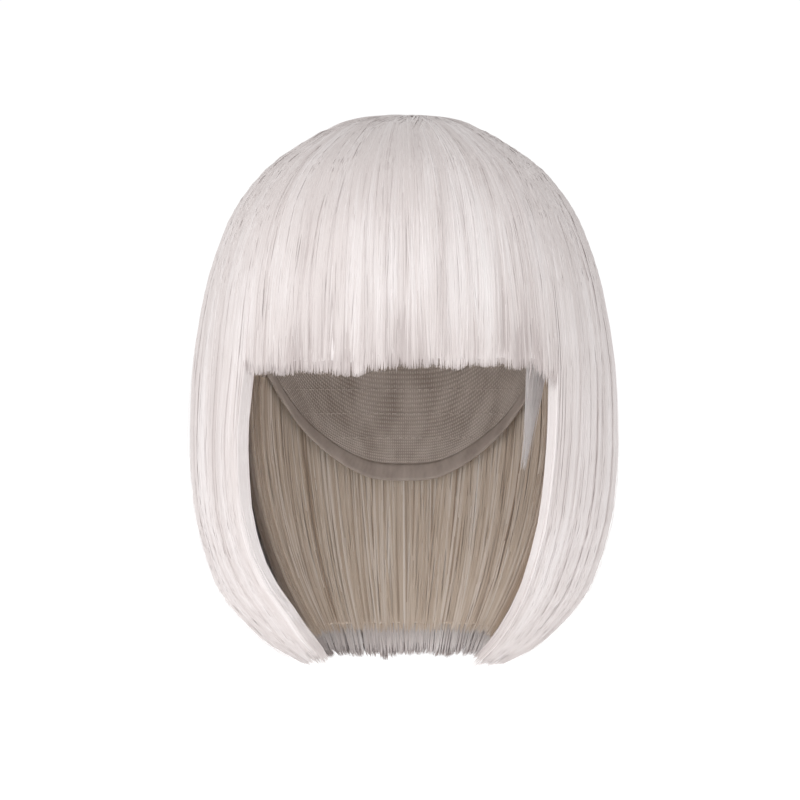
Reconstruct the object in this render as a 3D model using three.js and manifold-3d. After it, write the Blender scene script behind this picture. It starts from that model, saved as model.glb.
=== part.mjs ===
// Bob wig with a full blunt fringe: a stretch net cap of two panels that sits on the head, and the hair
// sewn to it as a whorl patch, bangs, two side curtains, the back, an inner layer and one thin lock by
// the face.
// Millimetres, +Z up. The origin is at the height of the inside of the cap's top, over the middle of
// the head that carries the wig.
// The face opening looks along -Y, and +X is on the right of someone who looks at it.
import * as THREE from 'three';
import Module from 'manifold-3d';

const wasm = await Module();
wasm.setup();

// Head that the cap fits, measured from the whorl, where the widest sections have their centre
const WHORL_Y = 15;
const HEAD_HALF_WIDTH = 76;
const HEAD_FRONT_REACH = 110;
const HEAD_BACK_REACH = 80;

// Net cap
const CAP_DEPTH = 180;
const CAP_WALL = 1.5;
const CAP_BAND_HEIGHT = 9;
const CAP_BAND_EXTRA = 0.9;

// Hair, outside of the head
const TOP_LIFT = 13.5;
const SIDE_LIFT = 36.3;
const FRONT_LIFT = 15;
const BACK_LIFT = 28;
const HEM_DEPTH = 277.5;
const HAIR_WALL = 15;
const CROWN_RADIUS = 27;
const BANGS_DEPTH = 121;

// Where the side curtains meet the back, in degrees from the middle of the forehead
const BACK_ANGLE = 112;

// Inner layer of hair below the cap's edge, and how much shorter it is than the hem
const LAYER_TOP = 95;
const LAYER_SHORTER = 15.5;
const LAYER_WALL = 6;
const LAYER_HALF_ANGLE = 116;

// Thin lock beside the face, on the viewer's right: its tip leans forward and tucks in to the cheek
const FACE_LOCK_TOP = 70;
const FACE_LOCK_LENGTH = 103;
const FACE_LOCK_WIDTH = 20;
const FACE_LOCK_WALL = 3.2;
const FACE_LOCK_ANGLE = 53;
const FACE_LOCK_LEAN = 9;
const FACE_LOCK_TUCK = 7;
const FACE_LOCK_TIP_SHARE = 0.15;

// Locks on the surface of the hair: rounded ribs that end in tips of uneven length
const LOCK_WIDTH = 16;
const LOCK_GROOVE = 1.7;
const LOCK_TIP = 3.2;
const TIP_SPREAD = 4;

// Plan of every section is a superellipse with this exponent
const SUPERELLIPSE = 2.2;

// Air between pieces
const CLEARANCE = 0.3;

// Number of steps in each surface
const STEPS = { around: 36, lock: 3, panel: 14, bangs: 9, layer: 7, hollow: 13, cap: 6, faceLock: 8 };

const radians = THREE.MathUtils.degToRad;
const smooth = THREE.MathUtils.smoothstep;

function table(columns, rows) {
  return rows.map((row) => Object.fromEntries(columns.map((column, k) => [column, row[k]])));
}

// Hair sections from the crown to the hem. Drop is a share of the hair's height, width, front and
// back are shares of its half width and its reach each way, the walls are shares of HAIR_WALL, and the
// last two columns are the edges of the side curtains, in degrees from the middle of the forehead.
const HAIR = table(
  ['drop', 'width', 'front', 'back', 'frontWall', 'sideWall', 'leftEdge', 'rightEdge'],
  [
    [0.0, 0.0, 0.0, 0.0, 1.7, 2.0, 42, 40],
    [0.009, 0.24, 0.27, 0.25, 1.7, 2.0, 42, 40],
    [0.036, 0.41, 0.49, 0.44, 1.7, 2.0, 42, 40],
    [0.09, 0.62, 0.715, 0.65, 1.7, 2.0, 42, 40],
    [0.144, 0.744, 0.83, 0.775, 1.6, 2.0, 42, 40],
    [0.199, 0.828, 0.905, 0.855, 1.35, 2.0, 42, 40],
    [0.282, 0.906, 0.965, 0.93, 0.9, 1.6, 42, 40],
    [0.361, 0.952, 0.99, 0.97, 0.6, 1.25, 42, 40],
    [0.443, 0.983, 1.0, 0.995, 0.45, 1.1, 42, 40],
    [0.5, 0.994, 0.985, 1.0, 0.42, 1.0, 43.5, 40],
    [0.58, 1.0, 0.95, 0.995, 0.42, 1.0, 46, 40.5],
    [0.66, 0.995, 0.91, 0.97, 0.42, 1.0, 47, 40.5],
    [0.742, 0.968, 0.865, 0.93, 0.42, 0.97, 47.5, 40.5],
    [0.825, 0.906, 0.79, 0.87, 0.42, 0.88, 46, 39.5],
    [0.878, 0.837, 0.72, 0.805, 0.4, 0.75, 43, 38.5],
    [0.933, 0.71, 0.63, 0.72, 0.38, 0.6, 41.5, 37],
    [0.966, 0.6, 0.55, 0.66, 0.34, 0.48, 42, 37],
    [0.986, 0.505, 0.49, 0.61, 0.3, 0.4, 45, 37.5],
    [1.0, 0.45, 0.45, 0.575, 0.28, 0.36, 49, 39],
  ],
);

// Head inside the cap. Drop is a share of CAP_DEPTH.
const HEAD = table(
  ['drop', 'width', 'front', 'back'],
  [
    [0.0, 0.0, 0.0, 0.0],
    [0.017, 0.324, 0.34, 0.33],
    [0.067, 0.575, 0.61, 0.58],
    [0.139, 0.757, 0.79, 0.76],
    [0.222, 0.878, 0.9, 0.87],
    [0.333, 0.965, 0.97, 0.955],
    [0.444, 0.995, 1.0, 0.995],
    [0.556, 1.0, 1.0, 1.0],
    [0.694, 0.985, 0.98, 0.94],
    [0.833, 0.92, 0.92, 0.84],
    [0.917, 0.86, 0.86, 0.78],
    [1.0, 0.79, 0.8, 0.73],
    [1.1, 0.72, 0.72, 0.68],
  ],
);

// Edge of the cap: forehead, temple, the tab before the ear, over the ear, behind it and nape.
// Angle is in degrees from the middle of the forehead, and drop is a share of CAP_DEPTH.
const CAP_EDGE = table(
  ['angle', 'drop'],
  [
    [0, 0.37],
    [28, 0.395],
    [45, 0.5],
    [62, 0.68],
    [76, 0.67],
    [92, 0.6],
    [112, 0.7],
    [135, 0.88],
    [158, 0.98],
    [180, 1.0],
  ],
);

// Inner layer of hair. Drop is a share of the layer's height, width, front and back are shares of the
// head's half width and its reach each way, and wall is a share of LAYER_WALL.
const LAYER = table(
  ['drop', 'width', 'front', 'back', 'wall'],
  [
    [0.0, 1.04, 1.04, 1.045, 1.0],
    [0.15, 1.1, 1.03, 1.085, 1.0],
    [0.3, 1.115, 0.95, 1.06, 1.0],
    [0.48, 1.085, 0.88, 1.0, 1.0],
    [0.66, 1.0, 0.78, 0.93, 0.95],
    [0.82, 0.87, 0.66, 0.85, 0.85],
    [0.93, 0.74, 0.55, 0.76, 0.7],
    [1.0, 0.64, 0.47, 0.7, 0.6],
  ],
);

// How far each lock's tip hangs below the shortest one, as shares of TIP_SPREAD
const BANGS_TIPS = [0.9, 1.0, 0.8, 1.1, 0.35, 0.1, 0.25, 0.0, 0.15, 0.4, 1.0];
const HEM_TIPS = [0.2, 1.0, 0.5, 0.8, 0.0, 0.6, 0.9, 0.3];

// Value at s of a curve that runs smoothly from b to c, with a and d as the values before and after
function catmullRom(a, b, c, d, s) {
  const square = s * s;
  const cube = square * s;
  const start = (2 * cube - 3 * square + 1) * b + ((cube - 2 * square + s) * (c - a)) / 2;
  const end = (3 * square - 2 * cube) * c + ((cube - square) * (d - b)) / 2;
  return start + end;
}

// Section at row position u of a table. A closed top is smooth, because the shape mirrors over it.
function sectionAt(rows, u) {
  const last = rows.length - 1;
  const k = Math.min(Math.floor(u), last - 1);
  const mirrored = k === 0 && rows[0].width === 0;
  const blend = (column) => {
    const next = rows[k + 1][column];
    const acrossTop = ['width', 'front', 'back'].includes(column) ? -next : next;
    const before = mirrored ? acrossTop : rows[Math.max(k - 1, 0)][column];
    return catmullRom(before, rows[k][column], next, rows[Math.min(k + 2, last)][column], u - k);
  };
  return Object.fromEntries(Object.keys(rows[0]).map((column) => [column, blend(column)]));
}

// Row position at which a table reaches a drop
function rowAtDrop(rows, drop) {
  let low = 0;
  let high = rows.length - 1;
  while (high - low > 1e-6) {
    const middle = (low + high) / 2;
    if (sectionAt(rows, middle).drop < drop) low = middle;
    else high = middle;
  }
  return (low + high) / 2;
}

// Point of a superellipse section round the whorl's axis, at an angle from the front
function pointOn(angle, halfWidth, front, back, z) {
  const across = Math.sin(angle);
  const along = Math.cos(angle);
  const reach = along > 0 ? front : back;
  const sum = Math.abs(across / halfWidth) ** SUPERELLIPSE + Math.abs(along / reach) ** SUPERELLIPSE;
  const radius = sum ** (-1 / SUPERELLIPSE);
  return new THREE.Vector3(radius * across, WHORL_Y - radius * along, z);
}

function hairPoint(angle, u) {
  const section = sectionAt(HAIR, u);
  return pointOn(
    angle,
    section.width * (HEAD_HALF_WIDTH + SIDE_LIFT),
    section.front * (HEAD_FRONT_REACH + FRONT_LIFT),
    section.back * (HEAD_BACK_REACH + BACK_LIFT),
    TOP_LIFT - section.drop * (TOP_LIFT + HEM_DEPTH),
  );
}

function headPoint(angle, u) {
  const section = sectionAt(HEAD, u);
  return pointOn(
    angle,
    section.width * HEAD_HALF_WIDTH,
    section.front * HEAD_FRONT_REACH,
    section.back * HEAD_BACK_REACH,
    -section.drop * CAP_DEPTH,
  );
}

function layerPoint(angle, u) {
  const section = sectionAt(LAYER, u);
  return pointOn(
    angle,
    section.width * HEAD_HALF_WIDTH,
    section.front * HEAD_FRONT_REACH,
    section.back * HEAD_BACK_REACH,
    -LAYER_TOP - section.drop * (HEM_DEPTH - LAYER_SHORTER - LAYER_TOP),
  );
}

// Point moved outward along the surface's normal
function offsetPoint(surface, angle, u, distance) {
  const step = 0.02;
  const down = surface(angle, u + step).sub(surface(angle, Math.max(u - step, step / 2)));
  const round = surface(angle + step, u).sub(surface(angle - step, u));
  return surface(angle, u).addScaledVector(down.cross(round).normalize(), distance);
}

function range(count, at) {
  return Array.from({ length: count }, (unused, k) => at(k));
}

// Ring of points, one at each of the steps round the axis
function ringOf(at) {
  return range(STEPS.around, (k) => at((2 * Math.PI * k) / STEPS.around));
}

// Angle from the middle of the forehead, alike on both sides
function turnFromFront(angle) {
  return Math.abs(Math.atan2(Math.sin(angle), Math.cos(angle)));
}

function toSolid(points, faces) {
  const vertProperties = new Float32Array(points.flatMap((p) => [p.x, p.y, p.z]));
  const triVerts = new Uint32Array(faces.flat());
  return new wasm.Manifold(new wasm.Mesh({ numProp: 3, vertProperties, triVerts }));
}

// Solid between the whorl's axis and a grid of surface points, given row by row from the top.
// A ring closes on itself. Any other grid is a wedge with two flat sides.
function fill(grid, ring, topZ) {
  const bottom = grid.length - 1;
  const columns = grid[0].length;
  const points = grid.flat();
  const heights = grid.map((row) => row.reduce((sum, point) => sum + point.z, 0) / columns);
  heights[0] = topZ ?? heights[0];
  const levels = ring ? [0, bottom] : [...grid.keys()];
  const axis = new Map(levels.map((i, k) => [i, grid.length * columns + k]));
  points.push(...levels.map((i) => new THREE.Vector3(0, WHORL_Y, heights[i])));
  const faces = [];
  const at = (i, j) => i * columns + (j % columns);
  const quad = (a, b, c, d) => faces.push([a, b, c], [a, c, d]);
  const spans = ring ? columns : columns - 1;
  for (let j = 0; j < spans; j += 1) {
    faces.push([axis.get(0), at(0, j), at(0, j + 1)]);
    faces.push([axis.get(bottom), at(bottom, j + 1), at(bottom, j)]);
    for (let i = 0; i < bottom; i += 1) quad(at(i, j), at(i + 1, j), at(i + 1, j + 1), at(i, j + 1));
  }
  for (let i = 0; i < bottom && !ring; i += 1) {
    quad(axis.get(i), axis.get(i + 1), at(i + 1, 0), at(i, 0));
    quad(at(i, spans), at(i + 1, spans), axis.get(i + 1), axis.get(i));
  }
  return toSolid(points, faces);
}

// Upright cylinder round the whorl's axis, from above the hair down into the head
function crownPlug(radius) {
  return fill(
    [2 * TOP_LIFT, -2 * TOP_LIFT].map((z) => ringOf((angle) => pointOn(angle, radius, radius, radius, z))),
    true,
  );
}

// Drop of the cap's edge at an angle from the front
function capEdgeDrop(angle) {
  const turned = THREE.MathUtils.radToDeg(turnFromFront(angle));
  const last = CAP_EDGE.length - 1;
  const k = Math.max(CAP_EDGE.findIndex((row) => row.angle >= turned), 1);
  const before = CAP_EDGE[Math.abs(k - 2)].drop;
  const after = CAP_EDGE[k === last ? last - 1 : k + 1].drop;
  const s = (turned - CAP_EDGE[k - 1].angle) / (CAP_EDGE[k].angle - CAP_EDGE[k - 1].angle);
  return catmullRom(before, CAP_EDGE[k - 1].drop, CAP_EDGE[k].drop, after, s);
}

// Head form from the top down to the cap's edge, grown outward, with a thicker band along the edge.
// It ends beyond the edge by the given length.
function capForm(growth, bandGrowth, beyond) {
  const bandTop = (angle) => rowAtDrop(HEAD, capEdgeDrop(angle) - CAP_BAND_HEIGHT / CAP_DEPTH);
  const end = (angle) => rowAtDrop(HEAD, capEdgeDrop(angle) + beyond / CAP_DEPTH);
  const bandStep = 0.12;
  const upper = range(STEPS.cap + 1, (i) => {
    const share = (i + 0.6) / (STEPS.cap + 0.6);
    return ringOf((angle) => offsetPoint(headPoint, angle, bandTop(angle) * share, growth));
  });
  const band = [bandStep, 1].map((share) =>
    ringOf((angle) => {
      const u = THREE.MathUtils.lerp(bandTop(angle), end(angle), share);
      return offsetPoint(headPoint, angle, u, growth + bandGrowth);
    }),
  );
  return fill([...upper, ...band], true, growth);
}

// Space inside the hair, less a margin. It lies within the head where the hair sits on the cap.
function hollowForm(margin) {
  const last = HAIR.length - 1;
  const grid = range(STEPS.hollow + 1, (i) => {
    const u = (last * (i + 0.5)) / (STEPS.hollow + 0.5);
    const { frontWall, sideWall } = sectionAt(HAIR, u);
    return ringOf((angle) => {
      const sideways = smooth(turnFromFront(angle), radians(40), radians(72));
      const wall = THREE.MathUtils.lerp(frontWall, sideWall, sideways) * HAIR_WALL;
      return offsetPoint(hairPoint, angle, u, -wall - margin);
    });
  });
  return fill([...grid, lowered(grid[STEPS.hollow], 2 * TIP_SPREAD)], true);
}

function lowered(ring, distance) {
  return ring.map((point) => point.clone().setZ(point.z - distance));
}

// Group of locks between two edges. Each lock is a rounded rib with its own tip, and hem gives the
// row position at which hair ends that hangs lower than the shortest by a given length.
function lockGroup({ surface, from, to, top, hem, locks, steps, tips }) {
  const total = locks * STEPS.lock;
  const grid = range(steps + 1, () => []);
  for (let j = 0; j <= total; j += 1) {
    const lock = Math.min(Math.floor(j / STEPS.lock), locks - 1);
    const valley = (2 * Math.abs((j % STEPS.lock) / STEPS.lock - 0.5)) ** 2;
    const end = hem(tips[lock % tips.length] * TIP_SPREAD - valley * LOCK_TIP);
    for (let i = 0; i <= steps; i += 1) {
      const u = THREE.MathUtils.lerp(top, end, i / steps);
      const front = surface(0, u);
      const halfGap = CLEARANCE / 2 / (WHORL_Y - front.y);
      const angle = THREE.MathUtils.lerp(from(u) + halfGap, to(u) - halfGap, j / total);
      const groove = LOCK_GROOVE * valley * smooth(u - top, 1.5, 5.5);
      grid[i].push(offsetPoint(surface, angle, u, -groove));
    }
  }
  return fill(grid, false);
}

// Tapered strip that lies on the cap's band, hangs down beside the face and narrows to a point
function faceLockForm() {
  const sides = 8;
  const onBand = CAP_WALL + CAP_BAND_EXTRA + CLEARANCE + FACE_LOCK_WALL / 2;
  const grid = range(STEPS.faceLock + 1, (i) => {
    const s = i / STEPS.faceLock;
    const taper = THREE.MathUtils.lerp(1, FACE_LOCK_TIP_SHARE, smooth(s, 0.3, 1));
    const angle = radians(FACE_LOCK_ANGLE - FACE_LOCK_LEAN * s);
    const z = -FACE_LOCK_TOP - FACE_LOCK_LENGTH * s;
    const centre = pointOn(angle, HEAD_HALF_WIDTH, HEAD_FRONT_REACH, HEAD_BACK_REACH, z);
    const outward = new THREE.Vector3(centre.x, centre.y - WHORL_Y, 0).normalize();
    const across = new THREE.Vector3(-outward.y, outward.x, 0);
    centre.addScaledVector(outward, onBand - FACE_LOCK_TUCK * s * s);
    return range(sides, (j) => {
      const turn = (2 * Math.PI * j) / sides;
      return centre
        .clone()
        .addScaledVector(outward, (-Math.cos(turn) * FACE_LOCK_WALL * taper) / 2)
        .addScaledVector(across, (Math.sin(turn) * FACE_LOCK_WIDTH * taper) / 2);
    });
  });
  return tube(grid);
}

// Solid through closed sections, given from the top
function tube(grid) {
  const count = grid[0].length;
  const points = grid.flat();
  const faces = [];
  const at = (i, j) => i * count + (j % count);
  const bottom = grid.length - 1;
  for (let j = 0; j < count; j += 1) {
    for (let i = 0; i < bottom; i += 1) {
      faces.push([at(i, j), at(i, j + 1), at(i + 1, j + 1)]);
      faces.push([at(i, j), at(i + 1, j + 1), at(i + 1, j)]);
    }
    if (j > 0 && j < count - 1) {
      faces.push([at(0, 0), at(0, j + 1), at(0, j)]);
      faces.push([at(bottom, 0), at(bottom, j), at(bottom, j + 1)]);
    }
  }
  return toSolid(points, faces);
}

function toMesh(name, solid, colour) {
  const { vertProperties, triVerts } = solid.getMesh();
  const geometry = new THREE.BufferGeometry();
  geometry.setAttribute('position', new THREE.BufferAttribute(new Float32Array(vertProperties), 3));
  geometry.setIndex(new THREE.BufferAttribute(new Uint32Array(triVerts), 1));
  geometry.computeVertexNormals();
  const material = new THREE.MeshStandardMaterial({ color: colour, roughness: 0.45, metalness: 0 });
  const mesh = new THREE.Mesh(geometry, material);
  mesh.name = name;
  return mesh;
}

function hairRowAt(depth) {
  return rowAtDrop(HAIR, (TOP_LIFT + depth) / (TOP_LIFT + HEM_DEPTH));
}

// Edges of the hair groups, as angles from the middle of the forehead. Each may depend on the row.
const partLeft = () => -radians(HAIR[0].leftEdge);
const partRight = () => radians(HAIR[0].rightEdge);
const faceLeft = (u) => Math.min(-radians(sectionAt(HAIR, u).leftEdge), partLeft());
const faceRight = (u) => Math.max(radians(sectionAt(HAIR, u).rightEdge), partRight());
const backRight = () => radians(BACK_ANGLE);
const backLeft = () => radians(-BACK_ANGLE);

const capSpace = capForm(CAP_WALL + CLEARANCE, CAP_BAND_EXTRA, CLEARANCE);
const hairSpace = capSpace.add(hollowForm(0));
const innerSpace = hollowForm(CLEARANCE);
const crownSpace = crownPlug(CROWN_RADIUS + CLEARANCE);

function locksAcross(arc, halfWidth) {
  return Math.round((arc * halfWidth) / LOCK_WIDTH);
}

// Group of locks of the outer hair, cut to the cap, to the hollow below it and to the crown patch
function hairPanel(options) {
  const arc = options.to(0) - options.from(0);
  const locks = locksAcross(arc, HEAD_HALF_WIDTH + SIDE_LIFT);
  const panel = lockGroup({ surface: hairPoint, top: 0.4, locks, ...options });
  return panel.subtract(hairSpace).subtract(crownSpace);
}

// Panel of the cap on one side of the seam from ear to ear. Facing is -1 for the front and 1 for the back.
function makeCapPanel(facing) {
  const outside = capForm(CAP_WALL, CAP_BAND_EXTRA, 0);
  const inside = capForm(0, 0, CAP_BAND_HEIGHT);
  return outside.subtract(inside).trimByPlane([0, facing, 0], facing * WHORL_Y + CLEARANCE / 2);
}

function makeCrown() {
  const rows = [0.5, 1, 1.5, 3].map((u) => ringOf((angle) => hairPoint(angle, u)));
  return fill(rows, true, TOP_LIFT).intersect(crownPlug(CROWN_RADIUS)).subtract(hairSpace);
}

function makeBangs() {
  const hem = (reach) => hairRowAt(BANGS_DEPTH + reach);
  return hairPanel({ from: partLeft, to: partRight, hem, steps: STEPS.bangs, tips: BANGS_TIPS });
}

// Panel that ends at the hem, such as a side curtain
function makeCurtain(from, to) {
  const hem = (reach) => hairRowAt(HEM_DEPTH - TIP_SPREAD + reach);
  return hairPanel({ from, to, hem, steps: STEPS.panel, tips: HEM_TIPS });
}

function makeUnderLayer() {
  const last = LAYER.length - 1;
  const rowsPerLength = last / (HEM_DEPTH - LAYER_SHORTER - LAYER_TOP);
  const locks = locksAcross(2 * radians(LAYER_HALF_ANGLE), HEAD_HALF_WIDTH);
  const outside = lockGroup({
    surface: layerPoint,
    from: () => Math.PI - radians(LAYER_HALF_ANGLE),
    to: () => Math.PI + radians(LAYER_HALF_ANGLE),
    top: 0,
    hem: (reach) => last - (TIP_SPREAD - reach) * rowsPerLength,
    locks,
    steps: STEPS.layer,
    tips: HEM_TIPS,
  });
  const inside = range(STEPS.layer + 1, (i) => {
    const u = (last * i) / STEPS.layer;
    const wall = sectionAt(LAYER, u).wall * LAYER_WALL;
    return ringOf((angle) => offsetPoint(layerPoint, angle, u, -wall));
  });
  const inner = fill([...inside, lowered(inside[STEPS.layer], 3 * TIP_SPREAD)], true);
  return outside.subtract(inner).subtract(capSpace).intersect(innerSpace);
}

function makeFaceLock() {
  return faceLockForm().subtract(capSpace).intersect(innerSpace);
}

const wig = new THREE.Group();
wig.add(
  toMesh('cap_front', makeCapPanel(-1), 0x8d8078),
  toMesh('cap_back', makeCapPanel(1), 0x8d8078),
  toMesh('crown', makeCrown(), 0xd3ccc9),
  toMesh('bangs', makeBangs(), 0xe0d8d5),
  toMesh('side_left', makeCurtain(backLeft, faceLeft), 0xded5d3),
  toMesh('side_right', makeCurtain(faceRight, backRight), 0xd9cfce),
  toMesh('back', makeCurtain(backRight, () => 2 * Math.PI + backLeft()), 0xd3cac8),
  toMesh('under_layer', makeUnderLayer(), 0x85766c),
  toMesh('face_lock_right', makeFaceLock(), 0xc2b7b3),
);

export default wig;
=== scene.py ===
import math

import bpy
import numpy as np
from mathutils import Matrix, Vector


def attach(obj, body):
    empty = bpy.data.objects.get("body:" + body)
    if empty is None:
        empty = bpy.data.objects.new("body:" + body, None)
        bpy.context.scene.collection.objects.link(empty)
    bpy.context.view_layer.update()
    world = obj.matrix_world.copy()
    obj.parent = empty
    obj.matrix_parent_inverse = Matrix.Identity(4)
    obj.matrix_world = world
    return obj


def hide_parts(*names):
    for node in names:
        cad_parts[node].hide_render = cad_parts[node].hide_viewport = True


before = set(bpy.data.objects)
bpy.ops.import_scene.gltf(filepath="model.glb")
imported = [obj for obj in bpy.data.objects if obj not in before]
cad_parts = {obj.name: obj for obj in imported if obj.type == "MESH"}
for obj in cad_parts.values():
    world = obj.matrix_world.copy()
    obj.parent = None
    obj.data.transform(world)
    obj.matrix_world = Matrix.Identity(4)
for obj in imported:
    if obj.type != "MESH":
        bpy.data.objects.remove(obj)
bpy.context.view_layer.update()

# ---------------------------------------------------------------------------------------------
# Net cap. A wig cap is knitted stretch net with an elastic band sewn round its edge, and rows of
# hair are machine-sewn to it. It is pulled over the head, so it takes the head's form.
# ---------------------------------------------------------------------------------------------

MM = 0.001

# The widest sections of the head and of the hair have their centre on this upright line
WHORL_Y = 15 * MM
HEAD_HALF_WIDTH = 76 * MM
HEAD_FRONT_REACH = 110 * MM
HEAD_BACK_REACH = 80 * MM
SECTION_EXPONENT = 2.2

CAP_DEPTH = 180 * MM
CAP_WALL = 1.5 * MM
CAP_BAND_HEIGHT = 9 * MM
CAP_BAND_WALL = 0.9 * MM

# Head form: drop as a share of the cap's depth, then width, front and back as shares of its reach
HEAD_SECTIONS = np.array([
    [0.0, 0.0, 0.0, 0.0],
    [0.017, 0.324, 0.34, 0.33],
    [0.067, 0.575, 0.61, 0.58],
    [0.139, 0.757, 0.79, 0.76],
    [0.222, 0.878, 0.9, 0.87],
    [0.333, 0.965, 0.97, 0.955],
    [0.444, 0.995, 1.0, 0.995],
    [0.556, 1.0, 1.0, 1.0],
    [0.694, 0.985, 0.98, 0.94],
    [0.833, 0.92, 0.92, 0.84],
    [0.917, 0.86, 0.86, 0.78],
    [1.0, 0.79, 0.8, 0.73],
    [1.1, 0.72, 0.72, 0.68],
])

# Cap's edge: angle in degrees from the middle of the forehead, and drop
CAP_EDGE = np.array([
    [0, 0.37],
    [28, 0.395],
    [45, 0.5],
    [62, 0.68],
    [76, 0.67],
    [92, 0.6],
    [112, 0.7],
    [135, 0.88],
    [158, 0.98],
    [180, 1.0],
])


def smooth(value, low, high):
    """Smooth step from 0 at low to 1 at high"""
    s = np.clip((np.asarray(value, float) - low) / (high - low), 0, 1)
    return s * s * (3 - 2 * s)


def blend(start, end, share):
    return start + (end - start) * share


def through(a, b, c, d, s):
    """Point at s on the smooth curve from b to c, with a before and d after them"""
    start = (2 * s**3 - 3 * s**2 + 1) * b + (s**3 - 2 * s**2 + s) * (c - a) / 2
    return start + (3 * s**2 - 2 * s**3) * c + (s**3 - s**2) * (d - b) / 2


def section_at(rows, u):
    """Columns of a section table at the row positions u. A closed top mirrors over itself."""
    u = np.asarray(u, float)
    last = len(rows) - 1
    k = np.clip(u.astype(int), 0, last - 1)
    before = rows[np.maximum(k - 1, 0)]
    if rows[0][1] == 0:
        mirrored = np.array([1] + [-1] * 3 + [0] * (rows.shape[1] - 4))
        over_top = np.where(mirrored == -1, -rows[1], rows[0])
        before = np.where((k == 0)[..., None], over_top, before)
    after = rows[np.minimum(k + 2, last)]
    return through(before, rows[k], rows[k + 1], after, (u - k)[..., None])


def row_at_drop(rows, drop):
    """Row position at which a table reaches each drop"""
    fine = np.linspace(0, len(rows) - 1, 4000)
    return np.interp(drop, section_at(rows, fine)[..., 0], fine)


def ring_point(angle, half_width, front, back, z):
    """Point of a superellipse section round the whorl's axis, at an angle from the front"""
    across, along = np.sin(angle), np.cos(angle)
    reach = np.where(along > 0, front, back)
    total = np.abs(across / half_width) ** SECTION_EXPONENT
    total = total + np.abs(along / reach) ** SECTION_EXPONENT
    radius = np.maximum(total, 1e-12) ** (-1 / SECTION_EXPONENT)
    return np.stack(np.broadcast_arrays(radius * across, WHORL_Y - radius * along, z), -1)


def section_point(angle, section, half_width, front, back, z):
    """Point of a section, whose width, front and back are shares of the given reaches"""
    shares = (np.maximum(section[..., k], 1e-6) for k in (1, 2, 3))
    reaches = (share * reach for share, reach in zip(shares, (half_width, front, back)))
    return ring_point(angle, *reaches, z)


def head_point(angle, u):
    section = section_at(HEAD_SECTIONS, u)
    return section_point(
        angle, section, HEAD_HALF_WIDTH, HEAD_FRONT_REACH, HEAD_BACK_REACH, -section[..., 0] * CAP_DEPTH)


def outward(surface, angle, u):
    """Unit normal of a surface, away from the head"""
    step = 0.02
    down = surface(angle, u + step) - surface(angle, np.maximum(u - step, step / 2))
    around = surface(angle + step, u) - surface(angle - step, u)
    normal = np.cross(down, around)
    return normal / np.linalg.norm(normal, axis=-1, keepdims=True)


def lifted(surface, angle, u, distance):
    angle, u = np.broadcast_arrays(np.asarray(angle, float), np.asarray(u, float))
    distance = np.broadcast_to(np.asarray(distance, float), u.shape)
    return surface(angle, u) + outward(surface, angle, u) * distance[..., None]


def cap_edge_drop(angle):
    """Drop of the cap's edge at each angle"""
    turned = np.degrees(np.abs(np.arctan2(np.sin(angle), np.cos(angle))))
    last = len(CAP_EDGE) - 1
    k = np.clip(np.searchsorted(CAP_EDGE[:, 0], turned), 1, last)
    before = CAP_EDGE[np.abs(k - 2), 1]
    after = CAP_EDGE[np.where(k == last, last - 1, np.minimum(k + 1, last)), 1]
    s = (turned - CAP_EDGE[k - 1, 0]) / (CAP_EDGE[k, 0] - CAP_EDGE[k - 1, 0])
    return through(before, CAP_EDGE[k - 1, 1], CAP_EDGE[k, 1], after, s)


def mesh_piece(name, points, faces, corner_uvs=None):
    """Object at the origin, from points and lists of faces, with a UV for each face corner"""
    mesh = bpy.data.meshes.new(name)
    mesh.from_pydata(np.asarray(points).tolist(), [], faces)
    if corner_uvs is not None:
        layer = mesh.uv_layers.new(name="Lay")
        layer.data.foreach_set("uv", np.asarray(corner_uvs, float).ravel())
    mesh.polygons.foreach_set("use_smooth", [True] * len(mesh.polygons))
    mesh.update()
    piece = bpy.data.objects.new(name, mesh)
    bpy.context.collection.objects.link(piece)
    return piece


def shell_piece(name, outer, inner, lay, ring=False, poles=None):
    """Closed shell between two grids of points of one shape. lay gives each grid point's UV, and
    poles the two points that close the top of a ring."""
    rows, columns = outer.shape[:2]
    parts = [outer.reshape(-1, 3), inner.reshape(-1, 3)] + ([poles] if poles is not None else [])
    points = np.concatenate(parts)
    below = rows * columns
    spans = columns if ring else columns - 1
    faces, corners = [], []
    uv = lay.reshape(-1, 2)

    def at(i, j):
        return i * columns + j % columns

    def add(quad, places):
        faces.append(quad)
        corners.extend(places)

    for i in range(rows - 1):
        for j in range(spans):
            a, b, c, d = at(i, j), at(i + 1, j), at(i + 1, j + 1), at(i, j + 1)
            places = [uv[a], uv[b], uv[c], uv[d]]
            if ring and j == columns - 1:
                turn = np.array([uv[at(i, 1)][0] - uv[at(i, 0)][0], 0])
                places[2] = uv[at(i + 1, j)] + turn
                places[3] = uv[at(i, j)] + turn
            add((a, b, c, d), places)
            add((below + d, below + c, below + b, below + a), places[::-1])
    for j in range(spans):
        for i, order in ((0, 1), (rows - 1, -1)):
            a, d = at(i, j), at(i, j + 1)
            if i == 0 and poles is not None:
                add((a, d, 2 * below), [uv[a], uv[d], uv[a]])
                add((below + d, below + a, 2 * below + 1), [uv[d], uv[a], uv[a]])
            else:
                add((a, d, below + d, below + a)[::order], [uv[a], uv[a], uv[a], uv[a]])
    for i in range(rows - 1) if not ring else ():
        for j, order in ((0, 1), (columns - 1, -1)):
            a, b = at(i, j), at(i + 1, j)
            add((a, below + a, below + b, b)[::order], [uv[a], uv[a], uv[b], uv[b]])
    return mesh_piece(name, points, faces, corners)


def linear(hex_colour):
    """Linear colour of an sRGB hex value"""
    values = [int(hex_colour[k:k + 2], 16) / 255 for k in (1, 3, 5)]
    return tuple(v / 12.92 if v <= 0.04045 else ((v + 0.055) / 1.055) ** 2.4 for v in values) + (1,)


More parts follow.
